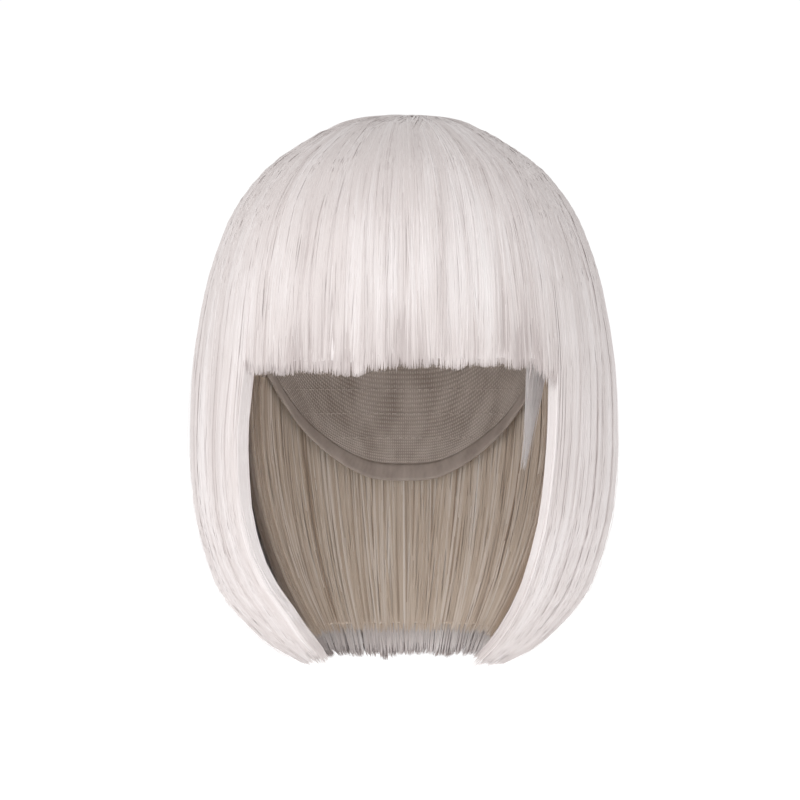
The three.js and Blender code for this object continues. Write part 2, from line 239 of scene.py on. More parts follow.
def node(tree, kind, settings=None, **links):
    """Add a node. Settings are its properties and unlinked inputs, links its linked inputs."""
    made = tree.nodes.new(kind)
    for key, value in (settings or {}).items():
        if isinstance(key, str) and hasattr(made, key) and key not in made.inputs:
            setattr(made, key, value)
        else:
            made.inputs[key].default_value = value
    for key, source in links.items():
        socket = int(key[1:]) if key[0] == "_" and key[1:].isdigit() else key.replace("_", " ")
        tree.links.new(source, made.inputs[socket])
    return made


def new_material(name):
    material = bpy.data.materials.new(name)
    material.use_nodes = True
    material.node_tree.nodes.clear()
    return material, material.node_tree


def finished(tree, settings, **links):
    """Give a material its surface and wire it to the output"""
    body = node(tree, "ShaderNodeBsdfPrincipled", settings, **links)
    node(tree, "ShaderNodeOutputMaterial", None, Surface=body.outputs["BSDF"])


def colour_ramp(tree, factor, stops):
    ramp = node(tree, "ShaderNodeValToRGB", None, Fac=factor)
    ramp.color_ramp.interpolation = "EASE"
    elements = ramp.color_ramp.elements
    while len(elements) < len(stops):
        elements.new(0.5)
    for element, (place, colour) in zip(elements, stops):
        element.position = place
        element.color = linear(colour)
    return ramp.outputs["Color"]


# Knitted net: soft matte polyamide yarn in rows of small loops, drawn at 1.6 mm so that it shows.
# The open meshes between the loops look darker, and a faint sheen lies along the ribs.
NET_PITCH = 1.6 * MM
WAVE_PERIOD = 0.314  # metres between the bands of a wave texture of scale 1
net, tree = new_material("knitted_polyamide_net")
place = node(tree, "ShaderNodeUVMap", {"uv_map": "Lay"})
ribs, loops = (
    node(tree, "ShaderNodeTexWave", {
        "wave_type": "BANDS", "bands_direction": way, "Scale": WAVE_PERIOD / NET_PITCH, "Distortion": bend,
        "Detail": 1.0, "Detail Scale": 2.0,
    }, Vector=place.outputs["UV"])
    for way, bend in (("X", 0.6), ("Y", 1.2))
)
knit = node(tree, "ShaderNodeMath", {"operation": "MULTIPLY"},
            _0=ribs.outputs["Fac"], _1=loops.outputs["Fac"])
wear = node(tree, "ShaderNodeTexNoise", {"Scale": 60.0, "Detail": 3.0}, Vector=place.outputs["UV"])
shade = node(tree, "ShaderNodeMath", {"operation": "MULTIPLY_ADD", 1: 0.55},
             _0=knit.outputs[0], _2=wear.outputs["Fac"])
tint = colour_ramp(tree, shade.outputs[0], [(0.3, "#a1948b"), (0.7, "#c2b6ae"), (1.0, "#d6ccc5")])
relief = node(tree, "ShaderNodeBump", {"Strength": 0.5, "Distance": 0.0006}, Height=knit.outputs[0])
finished(tree, {
    "Roughness": 0.82, "Sheen Weight": 0.2, "Sheen Roughness": 0.5, "Specular IOR Level": 0.3,
}, Base_Color=tint, Normal=relief.outputs["Normal"])

# Sheet of the net, from the crown down to the edge
NET_THICKNESS = 0.6 * MM
CAP_COLUMNS, CAP_ROWS = 96, 34
cap_angles = np.linspace(0, 2 * np.pi, CAP_COLUMNS, endpoint=False)[None, :]
cap_edge_rows = row_at_drop(HEAD_SECTIONS, cap_edge_drop(cap_angles))
cap_rows = np.linspace(0.03, 1, CAP_ROWS)[:, None] * cap_edge_rows
net_inner = lifted(head_point, cap_angles, cap_rows, 0.2 * MM)
net_outer = lifted(head_point, cap_angles, cap_rows, 0.2 * MM + NET_THICKNESS)
girth_radius = 0.5 * (HEAD_FRONT_REACH + HEAD_BACK_REACH)
row_step = np.linalg.norm(np.diff(net_outer, axis=0), axis=-1).mean(axis=1)
net_length = np.concatenate([[0], np.cumsum(row_step)])[:, None]
net_lay = np.stack(np.broadcast_arrays(cap_angles * girth_radius, net_length), -1)
net_poles = np.array([[0, WHORL_Y, 0.2 * MM + NET_THICKNESS], [0, WHORL_Y, 0.2 * MM]])
cap_net = shell_piece("cap_net", net_outer, net_inner, net_lay, ring=True, poles=net_poles)
cap_net.data.materials.append(net)

# Elastic edge band: woven polyester tape with fine ribs across it, folded over the net's edge
BAND_RIB = 1.1 * MM
elastic, tree = new_material("woven_elastic_tape")
place = node(tree, "ShaderNodeUVMap", {"uv_map": "Lay"})
ribs = node(tree, "ShaderNodeTexWave", {
    "wave_type": "BANDS", "bands_direction": "X", "Scale": WAVE_PERIOD / BAND_RIB, "Distortion": 0.3,
}, Vector=place.outputs["UV"])
mottle = node(tree, "ShaderNodeTexNoise", {"Scale": 90.0, "Detail": 4.0}, Vector=place.outputs["UV"])
shade = node(tree, "ShaderNodeMath", {"operation": "MULTIPLY_ADD", 1: 0.35},
             _0=ribs.outputs["Fac"], _2=mottle.outputs["Fac"])
tint = colour_ramp(tree, shade.outputs[0], [(0.3, "#94877f"), (0.6, "#b0a39b"), (1.0, "#c2b6ae")])
relief = node(tree, "ShaderNodeBump", {"Strength": 0.4, "Distance": 0.0005}, Height=ribs.outputs["Fac"])
finished(tree, {
    "Roughness": 0.75, "Sheen Weight": 0.15, "Specular IOR Level": 0.35,
}, Base_Color=tint, Normal=relief.outputs["Normal"])

BAND_COLUMNS = 180
band_angles = np.linspace(0, 2 * np.pi, BAND_COLUMNS, endpoint=False)[None, :]
band_end = cap_edge_drop(band_angles)
band_shares = np.linspace(0, 1, 7)[:, None]
band_rows = row_at_drop(HEAD_SECTIONS, band_end - (1 - band_shares) * CAP_BAND_HEIGHT / CAP_DEPTH)
band_rounding = np.sqrt(np.maximum(1 - (2 * band_shares - 1) ** 4, 0.05))
band_outer = lifted(head_point, band_angles, band_rows, 0.9 * MM + 1.2 * MM * band_rounding)
band_inner = lifted(head_point, band_angles, band_rows, 0.1 * MM - 0.35 * MM * band_rounding)
band_lay = np.stack(np.broadcast_arrays(band_angles * girth_radius, band_shares * CAP_BAND_HEIGHT), -1)
cap_band = shell_piece("cap_band", band_outer, band_inner, band_lay, ring=True)
cap_band.data.materials.append(elastic)


def interface_input(tree, name, kind, default=None):
    socket = tree.interface.new_socket(name=name, in_out="INPUT", socket_type=kind)
    if default is not None:
        socket.default_value = default
    return socket


def grown(name, source, tree, settings):
    """Plain mesh object that a node tree grows from a source mesh object, which is removed"""
    modifier = source.modifiers.new("Grow", "NODES")
    modifier.node_group = tree
    for item in tree.interface.items_tree:
        if item.item_type == "SOCKET" and item.in_out == "INPUT" and item.name in settings:
            modifier[item.identifier] = settings[item.name]
    evaluated = source.evaluated_get(bpy.context.evaluated_depsgraph_get())
    mesh = bpy.data.meshes.new_from_object(evaluated)
    mesh.name = name
    source_mesh = source.data
    bpy.data.objects.remove(source)
    bpy.data.meshes.remove(source_mesh)
    piece = bpy.data.objects.new(name, mesh)
    bpy.context.collection.objects.link(piece)
    return piece


def line_mesh(name, lines, **values):
    """Mesh object of polylines, with named numbers or directions at their points"""
    count, points = lines.shape[:2]
    first = (np.arange(count) * points)[:, None] + np.arange(points - 1)[None, :]
    edges = np.stack([first, first + 1], -1).reshape(-1, 2)
    mesh = bpy.data.meshes.new(name)
    mesh.vertices.add(count * points)
    mesh.vertices.foreach_set("co", lines.reshape(-1))
    mesh.edges.add(len(edges))
    mesh.edges.foreach_set("vertices", edges.reshape(-1))
    for key, value in values.items():
        if np.ndim(value) == 3:
            layer = mesh.attributes.new(key, "FLOAT_VECTOR", "POINT")
            layer.data.foreach_set("vector", value.reshape(-1))
        else:
            layer = mesh.attributes.new(key, "FLOAT", "POINT")
            layer.data.foreach_set("value", np.broadcast_to(value, (count, points)).reshape(-1))
    mesh.update()
    source = bpy.data.objects.new(name, mesh)
    bpy.context.collection.objects.link(source)
    return source


# Sewing: each row of hair is stitched through the net, which shows inside the cap as a run of
# small stitches. A stitch is a short rounded bar of spun polyester thread.
def stitch_tree():
    """Stitches of one length and gap along each line"""
    tree = bpy.data.node_groups.new("Stitches along rows", "GeometryNodeTree")
    interface_input(tree, "Rows", "NodeSocketGeometry")
    interface_input(tree, "Spacing", "NodeSocketFloat", 0.003)
    interface_input(tree, "Stitch length", "NodeSocketFloat", 0.002)
    interface_input(tree, "Thread radius", "NodeSocketFloat", 0.0003)
    interface_input(tree, "Thread", "NodeSocketMaterial")
    tree.interface.new_socket(name="Stitches", in_out="OUTPUT", socket_type="NodeSocketGeometry")
    given = tree.nodes.new("NodeGroupInput").outputs
    curves = node(tree, "GeometryNodeMeshToCurve", None, Mesh=given["Rows"])
    points = node(tree, "GeometryNodeCurveToPoints", {"mode": "LENGTH"},
                  Curve=curves.outputs[0], Length=given["Spacing"])
    half = node(tree, "ShaderNodeMath", {"operation": "MULTIPLY", 1: 0.5}, _0=given["Stitch length"])
    other = node(tree, "ShaderNodeMath", {"operation": "MULTIPLY", 1: -0.5}, _0=given["Stitch length"])
    start = node(tree, "ShaderNodeCombineXYZ", None, Z=other.outputs[0])
    end = node(tree, "ShaderNodeCombineXYZ", None, Z=half.outputs[0])
    bar = node(tree, "GeometryNodeCurvePrimitiveLine", None, Start=start.outputs[0], End=end.outputs[0])
    ring = node(tree, "GeometryNodeCurvePrimitiveCircle", {"Resolution": 5},
                Radius=given["Thread radius"])
    thread = node(tree, "GeometryNodeCurveToMesh", {"Fill Caps": True},
                  Curve=bar.outputs[0], Profile_Curve=ring.outputs[0])
    smooth_thread = node(tree, "GeometryNodeSetShadeSmooth", {"Shade Smooth": True},
                         Geometry=thread.outputs[0])
    placed = node(tree, "GeometryNodeInstanceOnPoints", None, Points=points.outputs["Points"],
                  Instance=smooth_thread.outputs[0], Rotation=points.outputs["Rotation"])
    real = node(tree, "GeometryNodeRealizeInstances", None, Geometry=placed.outputs[0])
    dressed = node(tree, "GeometryNodeSetMaterial", None, Geometry=real.outputs[0], Material=given["Thread"])
    node(tree, "NodeGroupOutput", None, _0=dressed.outputs[0])
    return tree


# Spun polyester sewing thread: soft, slightly shiny and a little lighter than the net
thread, tree = new_material("spun_polyester_thread")
place = node(tree, "ShaderNodeTexCoord")
fuzz = node(tree, "ShaderNodeTexNoise", {"Scale": 900.0, "Detail": 2.0}, Vector=place.outputs["Object"])
tint = colour_ramp(tree, fuzz.outputs["Fac"], [(0.35, "#b3a69e"), (0.65, "#d2c7c0")])
finished(tree, {"Roughness": 0.6, "Sheen Weight": 0.2}, Base_Color=tint)

WEFT_SPACING = 13 * MM
WEFT_MARGIN = 12 * MM
STITCH_LIFT = 0.1 * MM
around = np.linspace(0, 2 * np.pi, 181)
sewn_rows = []
for depth in np.arange(14 * MM, CAP_DEPTH, WEFT_SPACING):
    clear = np.flatnonzero(depth + WEFT_MARGIN < cap_edge_drop(around) * CAP_DEPTH)
    for run in np.split(clear, np.flatnonzero(np.diff(clear) > 1) + 1):
        if len(run) > 6:
            angles = np.linspace(around[run[0]], around[run[-1]], 120)
            row = row_at_drop(HEAD_SECTIONS, depth / CAP_DEPTH)
            sewn_rows.append(lifted(head_point, angles, row, STITCH_LIFT))

# Seam from ear to ear that joins the cap's two panels, covered inside by a woven tape that is
# stitched down along both its edges
SEAM_HALF_WIDTH = 3.5 * MM
seam_drop = cap_edge_drop(np.pi / 2) - 0.3 * CAP_BAND_HEIGHT / CAP_DEPTH
seam_end = float(row_at_drop(HEAD_SECTIONS, seam_drop))
seam_rows = np.linspace(-seam_end, seam_end, 120)[:, None]
seam_angles = np.where(seam_rows < 0, -np.pi / 2, np.pi / 2)
seam_share = np.linspace(-1, 1, 7)[None, :]


def seam_point(share, height):
    """Points of the tape, a share of its half width forward or back of the seam"""
    share, height, rows, angles = np.broadcast_arrays(share, height, np.abs(seam_rows), seam_angles)
    return lifted(head_point, angles, rows, height) + np.array([0, 1, 0]) * (share * SEAM_HALF_WIDTH)[..., None]


seam_outer = seam_point(seam_share, 0.35 * MM)
seam_inner = seam_point(seam_share, -0.5 * MM * np.sqrt(np.maximum(1 - seam_share ** 4, 0.1)))
seam_step = np.linalg.norm(np.diff(seam_inner[:, 3], axis=0), axis=-1)
seam_length = np.concatenate([[0], np.cumsum(seam_step)])[:, None]
seam_lay = np.stack(np.broadcast_arrays(seam_length, seam_share * SEAM_HALF_WIDTH), -1)
cap_seam = shell_piece("cap_seam", seam_outer, seam_inner, seam_lay)
cap_seam.data.materials.append(elastic)
for share in (-0.7, 0.7):
    sewn_rows.append(seam_point(np.array([[share]]), -0.5 * MM)[:, 0])

cap_stitches = grown("cap_stitches", line_mesh("sewn_rows", np.array(sewn_rows)), stitch_tree(), {
    "Spacing": 3.4 * MM, "Stitch length": 2.3 * MM, "Thread radius": 0.32 * MM, "Thread": thread,
})

for piece in (cap_net, cap_band, cap_seam, cap_stitches):
    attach(piece, "root")
    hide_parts("cap_front", "cap_back")

# ---------------------------------------------------------------------------------------------
# Crown. All the hair runs out from a small whorl at the top of the cap, where the first rows of
# hair are sewn in a tight spiral round a round patch. It is straight modacrylic fibre.
# ---------------------------------------------------------------------------------------------

TOP_LIFT = 13.5 * MM
SIDE_LIFT = 36.3 * MM
HAIR_HALF_WIDTH = HEAD_HALF_WIDTH + SIDE_LIFT
FRONT_LIFT = 15 * MM
BACK_LIFT = 28 * MM
HEM_DEPTH = 277.5 * MM
HAIR_WALL = 15 * MM
CROWN_RADIUS = 27 * MM

# Hair form: drop as a share of its height, width, front and back as shares of its reach, front and
# side wall as shares of HAIR_WALL, and the curtains' left and right edges in degrees
HAIR_SECTIONS = np.array([
    [0.0, 0.0, 0.0, 0.0, 1.7, 2.0, 42, 40],
    [0.009, 0.24, 0.27, 0.25, 1.7, 2.0, 42, 40],
    [0.036, 0.41, 0.49, 0.44, 1.7, 2.0, 42, 40],
    [0.09, 0.62, 0.715, 0.65, 1.7, 2.0, 42, 40],
    [0.144, 0.744, 0.83, 0.775, 1.6, 2.0, 42, 40],
    [0.199, 0.828, 0.905, 0.855, 1.35, 2.0, 42, 40],
    [0.282, 0.906, 0.965, 0.93, 0.9, 1.6, 42, 40],
    [0.361, 0.952, 0.99, 0.97, 0.6, 1.25, 42, 40],
    [0.443, 0.983, 1.0, 0.995, 0.45, 1.1, 42, 40],
    [0.5, 0.994, 0.985, 1.0, 0.42, 1.0, 43.5, 40],
    [0.58, 1.0, 0.95, 0.995, 0.42, 1.0, 46, 40.5],
    [0.66, 0.995, 0.91, 0.97, 0.42, 1.0, 47, 40.5],
    [0.742, 0.968, 0.865, 0.93, 0.42, 0.97, 47.5, 40.5],
    [0.825, 0.906, 0.79, 0.87, 0.42, 0.88, 46, 39.5],
    [0.878, 0.837, 0.72, 0.805, 0.4, 0.75, 43, 38.5],
    [0.933, 0.71, 0.63, 0.72, 0.38, 0.6, 41.5, 37],
    [0.966, 0.6, 0.55, 0.66, 0.34, 0.48, 42, 37],
    [0.986, 0.505, 0.49, 0.61, 0.3, 0.4, 45, 37.5],
    [1.0, 0.45, 0.45, 0.575, 0.28, 0.36, 49, 39],
])


def hair_point(angle, u):
    section = section_at(HAIR_SECTIONS, u)
    return section_point(
        angle, section, HAIR_HALF_WIDTH, HEAD_FRONT_REACH + FRONT_LIFT, HEAD_BACK_REACH + BACK_LIFT,
        TOP_LIFT - section[..., 0] * (TOP_LIFT + HEM_DEPTH))


def hair_row(depth):
    """Row position of the hair at a depth below the origin"""
    return row_at_drop(HAIR_SECTIONS, (TOP_LIFT + np.asarray(depth)) / (TOP_LIFT + HEM_DEPTH))


def on_cap(points):
    """Whether points lie within the cap, with its band and a little air"""
    growth = 2.4 * MM
    angle = np.arctan2(points[..., 0], WHORL_Y - points[..., 1])
    height = points[..., 2]
    drop = np.clip((growth - height) / CAP_DEPTH, 0, 1.1)
    section = section_at(HEAD_SECTIONS, row_at_drop(HEAD_SECTIONS, drop))
    reach = section_point(angle, section, HEAD_HALF_WIDTH, HEAD_FRONT_REACH, HEAD_BACK_REACH, height)
    near = np.hypot(points[..., 0], points[..., 1] - WHORL_Y)
    far = np.hypot(reach[..., 0], reach[..., 1] - WHORL_Y) + growth
    above_edge = -height < cap_edge_drop(angle) * CAP_DEPTH + growth
    return (height < growth) & (near < far) & above_edge


def hair_depth(angle, u):
    """How far the hair's inner side lies under its surface: down to the cap, or its own wall"""
    angle, u = np.broadcast_arrays(angle, u)
    section = section_at(HAIR_SECTIONS, u)
    turned = np.abs(np.arctan2(np.sin(angle), np.cos(angle)))
    sideways = smooth(turned, math.radians(40), math.radians(72))
    wall = blend(section[..., 4], section[..., 5], sideways) * HAIR_WALL
    points, normals = hair_point(angle, u), outward(hair_point, angle, u)
    free = ~on_cap(points - normals * wall[..., None])
    low, high = np.zeros_like(wall), wall.copy()
    for _ in range(16):
        middle = (low + high) / 2
        met = on_cap(points - normals * middle[..., None])
        low, high = np.where(met, low, middle), np.where(met, middle, high)
    return np.where(free, wall, np.maximum(low - 0.3 * MM, 1.5 * MM))


# Straight modacrylic fibre, heat-set and silky: pale platinum, each fibre a slightly different
# tone, with a broad soft shine across the fibres. Fibres are 0.08 mm thick on the real wig and
# lie in flat bundles, so they are drawn as bundles 0.7 to 1.2 mm wide.
def fibre_material(name, tones, roughness):
    """Material of loose bundles, which carry their tone and their place along the hair"""
    material, tree = new_material(name)
    tone = node(tree, "ShaderNodeAttribute", {"attribute_name": "tone"})
    along = node(tree, "ShaderNodeAttribute", {"attribute_name": "along"})
    place = node(tree, "ShaderNodeTexCoord")
    patch = node(tree, "ShaderNodeTexNoise", {"Scale": 22.0, "Detail": 2.0}, Vector=place.outputs["Object"])
    uneven = node(tree, "ShaderNodeMath", {"operation": "MULTIPLY_ADD", 1: 0.3, 2: -0.15},
                  _0=patch.outputs["Fac"])
    # Painted shade: each bundle darkens towards its root over the first half of its length, for the shade at
    # the roots and the crown.
    root = node(tree, "ShaderNodeMapRange", {"From Min": 0.0, "From Max": 0.5, "To Min": -0.2, "To Max": 0.0},
                Value=along.outputs["Fac"])
    shifted = node(tree, "ShaderNodeMath", {"operation": "ADD"}, _0=tone.outputs["Fac"], _1=uneven.outputs[0])
    factor = node(tree, "ShaderNodeMath", {"operation": "ADD"}, _0=shifted.outputs[0], _1=root.outputs[0])
    tint = colour_ramp(tree, factor.outputs[0], tones)
    finished(tree, {
        "Roughness": roughness, "IOR": 1.5, "Specular IOR Level": 0.65,
        "Sheen Weight": 0.12, "Sheen Roughness": 0.4,
    }, Base_Color=tint)
    return material


def combed_material(name, tones, roughness):
    """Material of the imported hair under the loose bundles, streaked along its lay"""
    material, tree = new_material(name)
    place = node(tree, "ShaderNodeUVMap", {"uv_map": "Lay"})
    fine_lay, broad_lay = (
        node(tree, "ShaderNodeMapping", {"Scale": (1 / wide, 1 / long, 1)}, Vector=place.outputs["UV"])
        for wide, long in ((1.1 * MM, 90 * MM), (6 * MM, 160 * MM))
    )
    fine = node(tree, "ShaderNodeTexNoise", {"Scale": 1.0, "Detail": 3.0}, Vector=fine_lay.outputs[0])
    broad = node(tree, "ShaderNodeTexNoise", {"Scale": 1.0, "Detail": 2.0}, Vector=broad_lay.outputs[0])
    factor = node(tree, "ShaderNodeMath", {"operation": "MULTIPLY_ADD", 1: 0.45},
                  _0=broad.outputs["Fac"], _2=fine.outputs["Fac"])
    stops = [(0.42 + 0.62 * k, colour) for k, colour in tones]
    tint = colour_ramp(tree, factor.outputs[0], stops)
    relief = node(tree, "ShaderNodeBump", {"Strength": 0.7, "Distance": 0.0008}, Height=fine.outputs["Fac"])
    finished(tree, {
        "Roughness": roughness, "IOR": 1.5, "Specular IOR Level": 0.4, "Sheen Weight": 0.12,
    }, Base_Color=tint, Normal=relief.outputs["Normal"])
    return material


PLATINUM_TONES = [(0.0, "#bfb4b2"), (0.35, "#d9d0ce"), (0.65, "#e6dfde"), (1.0, "#f3efee")]
platinum = fibre_material("silky_modacrylic_fibre", PLATINUM_TONES, 0.38)
platinum_mass = combed_material("combed_modacrylic_hair", PLATINUM_TONES, 0.5)


def bundle_tree():
    """Closed flat bundles of fibre swept along lines. Each is as thick as its points say, and its
    ridge looks the way that they face."""
    tree = bpy.data.node_groups.new("Bundles along the lay", "GeometryNodeTree")
    interface_input(tree, "Lay lines", "NodeSocketGeometry")
    interface_input(tree, "Bundle radius", "NodeSocketFloat", 0.0005)
    interface_input(tree, "Flatness", "NodeSocketFloat", 0.4)
    interface_input(tree, "Sides", "NodeSocketInt", 3)
    interface_input(tree, "Fibre", "NodeSocketMaterial")
    tree.interface.new_socket(name="Bundles", in_out="OUTPUT", socket_type="NodeSocketGeometry")
    given = tree.nodes.new("NodeGroupInput").outputs
    curves = node(tree, "GeometryNodeMeshToCurve", None, Mesh=given["Lay lines"])
    facing = node(tree, "GeometryNodeInputNamedAttribute", {"data_type": "FLOAT_VECTOR", "Name": "facing"})
    laid = node(tree, "GeometryNodeSetCurveNormal", {"mode": "FREE"},
                Curve=curves.outputs[0], Normal=facing.outputs["Attribute"])
    thickness = node(tree, "GeometryNodeInputNamedAttribute", {"data_type": "FLOAT", "Name": "thickness"})
    radius = node(tree, "ShaderNodeMath", {"operation": "MULTIPLY"},
                  _0=thickness.outputs["Attribute"], _1=given["Bundle radius"])
    circle = node(tree, "GeometryNodeCurvePrimitiveCircle", {"Radius": 1.0}, Resolution=given["Sides"])
    flat = node(tree, "ShaderNodeCombineXYZ", {"Y": 1.0, "Z": 1.0}, X=given["Flatness"])
    section = node(tree, "GeometryNodeTransform", None, Geometry=circle.outputs[0], Scale=flat.outputs[0])
    swept = node(tree, "GeometryNodeCurveToMesh", {"Fill Caps": True}, Curve=laid.outputs[0],
                 Profile_Curve=section.outputs[0], Scale=radius.outputs[0])
    face_way = node(tree, "GeometryNodeInputNormal")
    outwards = node(tree, "ShaderNodeVectorMath", {"operation": "DOT_PRODUCT"},
                    _0=face_way.outputs["Normal"], _1=facing.outputs["Attribute"])
    underside = node(tree, "FunctionNodeCompare", {"operation": "LESS_THAN", "B": -0.5},
                     A=outwards.outputs["Value"])
    soft = node(tree, "GeometryNodeSetShadeSmooth", {"Shade Smooth": True}, Geometry=swept.outputs[0])
    ridged = node(tree, "GeometryNodeSetShadeSmooth", {"Shade Smooth": False},
                  Geometry=soft.outputs[0], Selection=underside.outputs[0])
    real = node(tree, "GeometryNodeRealizeInstances", None, Geometry=ridged.outputs[0])
    dressed = node(tree, "GeometryNodeSetMaterial", None, Geometry=real.outputs[0], Material=given["Fibre"])
    node(tree, "NodeGroupOutput", None, _0=dressed.outputs[0])
    return tree


BUNDLES = bundle_tree()


def bundles(name, laid, thickness, tone, radius, fibre):
    """Piece of fibre bundles along lines that face a given way, thick and toned as given"""
    lines, facing = laid
    along = np.linspace(0, 1, lines.shape[1])[None, :]
    source = line_mesh(name + "_lay", lines, thickness=thickness, tone=tone, along=along, facing=facing)
    settings = {"Bundle radius": radius, "Flatness": 0.4, "Sides": 3, "Fibre": fibre}
    return grown(name, source, BUNDLES, settings)


def combed(surface, angle, u, height):
    """Lines at a height over a surface, and the way that they face"""
    angle, u = np.broadcast_arrays(np.asarray(angle, float), np.asarray(u, float))
    return lifted(surface, angle, u, height), outward(surface, angle, u)


def taper(count, points, random, tip=0.14):
    """Share of full thickness along each bundle: thin at the root, full, then fine at the tip"""
    s = np.linspace(0, 1, points)[None, :]
    size = random.uniform(0.7, 1.25, (count, 1))
    return size * blend(0.35, 1, smooth(s, 0, 0.18)) * blend(0.12, 1, smooth(1 - s, 0, tip))


# Packed hair of the whorl, as a low dome on the cap
whorl_angles = np.linspace(0, 2 * np.pi, 72, endpoint=False)[None, :]
whorl_rows = np.linspace(0.15, 1.05, 9)[:, None]
whorl_outer = lifted(hair_point, whorl_angles, whorl_rows, -0.9 * MM)
whorl_inner = whorl_outer.copy()
whorl_inner[..., 2] = np.minimum(whorl_inner[..., 2] - 3 * MM, 10 * MM) - 4 * MM
whorl_lay = np.stack(np.broadcast_arrays(whorl_angles * CROWN_RADIUS, whorl_rows * CROWN_RADIUS), -1)
whorl_poles = np.array([[0, WHORL_Y, TOP_LIFT - 0.9 * MM], [0, WHORL_Y, 5 * MM]])
crown_base = shell_piece("crown_base", whorl_outer, whorl_inner, whorl_lay, ring=True, poles=whorl_poles)
crown_base.data.materials.append(platinum_mass)

# Short bundles that swirl out of the whorl
random = np.random.default_rng(11)
SWIRL_COUNT, SWIRL_POINTS = 520, 12
s = np.linspace(0, 1, SWIRL_POINTS)[None, :]
first = random.uniform(0.03, 0.3, (SWIRL_COUNT, 1))
reach = random.uniform(1, 3.2, (SWIRL_COUNT, 1))
swirl_rows = blend(first, reach, s)
swirl_angles = np.linspace(0, 2 * np.pi, SWIRL_COUNT)[:, None] + 0.4 * (1 - s) ** 2
height = random.uniform(-0.7, 0.3, (SWIRL_COUNT, 1)) * MM - 1.8 * MM * smooth(s, 0.4, 1)
swirl = combed(hair_point, swirl_angles, swirl_rows, height)
# Painted shade: the swirl is given a low tone, lifted near the root against the fibre's painted root shade, so
# that the whorl is as dark as the root-shaded hair round it.
crown_strands = bundles(
    "crown_strands", swirl, taper(SWIRL_COUNT, SWIRL_POINTS, random, 0.3) * blend(0.45, 1, s),
    np.clip(random.normal(0.34, 0.1, (SWIRL_COUNT, 1)) + 0.2 * (1 - smooth(s, 0, 0.5)), 0, 1),
    0.5 * MM, platinum,
)

for piece in (crown_base, crown_strands):
    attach(piece, "root")
    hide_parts("crown")

# ---------------------------------------------------------------------------------------------
# Bangs. A full blunt fringe, combed straight forward from the whorl and cut across the forehead.
# The hair lies in rounded locks about 16 mm wide, and each lock ends in its own ragged tip.
# ---------------------------------------------------------------------------------------------

LOCK_WIDTH = 16 * MM
LOCK_GROOVE = 1.7 * MM
LOCK_TIP = 3.2 * MM
TIP_SPREAD = 4 * MM
STRANDS_PER_LOCK = 4
BUNDLE_RADIUS = 0.56 * MM
STRAY_SHARE = 0.016
LAY_SPREAD = 0.15 * MM
STRAND_SWELL = 0.3 * MM
ROOT_SINK = 2.2 * MM
PARTING_DEPTH = 0.8 * MM
BANGS_DEPTH = 121 * MM
BANGS_TIPS = np.array([0.9, 1, 0.8, 1.1, 0.35, 0.1, 0.25, 0, 0.15, 0.4, 1])


def part_left(u):
    return np.full_like(np.asarray(u, float), -math.radians(HAIR_SECTIONS[0, 6]))


def part_right(u):
    return np.full_like(np.asarray(u, float), math.radians(HAIR_SECTIONS[0, 7]))


def lock_count(start, end, half_width):
    return round(float(end(0.0) - start(0.0)) * half_width / LOCK_WIDTH)


def valley(share, locks):
    """0 on the middle of a lock, 1 in the groove between two"""
    return (2 * np.abs(share * locks % 1 - 0.5)) ** 2


def tip_reach(share, locks, tips):
    """How far the lock at a share of the way across hangs below the shortest"""
    lock = np.clip((share * locks).astype(int), 0, locks - 1)
    return tips[lock % len(tips)] * TIP_SPREAD - valley(share, locks) * LOCK_TIP


def lock_grooves(share, u, locks, seed):
    """0 on the locks, up to 1 in the grooves between them, which wander along the hair and open
    unevenly"""
    random = np.random.default_rng(seed)
    bends = random.uniform(0, 2 * np.pi, 3)
    place = share * locks + 0.3 * np.sin(2.1 * share * locks + 0.2 * u + bends[0])
    place = place + 0.2 * np.sin(4.7 * share * locks - 0.33 * u + bends[1])
    groove = np.clip(np.round(place).astype(int), 0, locks)
    most = random.uniform(0.08, 1, locks + 1)[groove]
    top = random.uniform(1.2, 8, locks + 1)[groove]
    bottom = random.uniform(9, 17, locks + 1)[groove]
    shut = random.uniform(0, 0.9, locks + 1)[groove]
    opened = most * smooth(u, top, top + 4) * (1 - shut * smooth(u, bottom - 3, bottom + 3))
    return (2 * np.abs(place % 1 - 0.5)) ** 2 * opened


def soft_field(x, y, cells, random, depth):
    """Smooth random field over x and y, which run from 0 to 1 across a number of cells each way"""
    values = random.normal(0, depth, (cells[0] + 2, cells[1] + 2))
    x, y = np.clip(x, 0, 1) * cells[0], np.clip(y, 0, 1) * cells[1]
    i, j = x.astype(int), y.astype(int)
    across, down = smooth(x - i, 0, 1), smooth(y - j, 0, 1)
    upper = blend(values[i, j], values[i + 1, j], across)
    return blend(upper, blend(values[i, j + 1], values[i + 1, j + 1], across), down)


def hem_thinning(u, last):
    """Share of the wall's depth that is left towards the hem"""
    return blend(1, 0.35, smooth(u, last - 1.6, last))


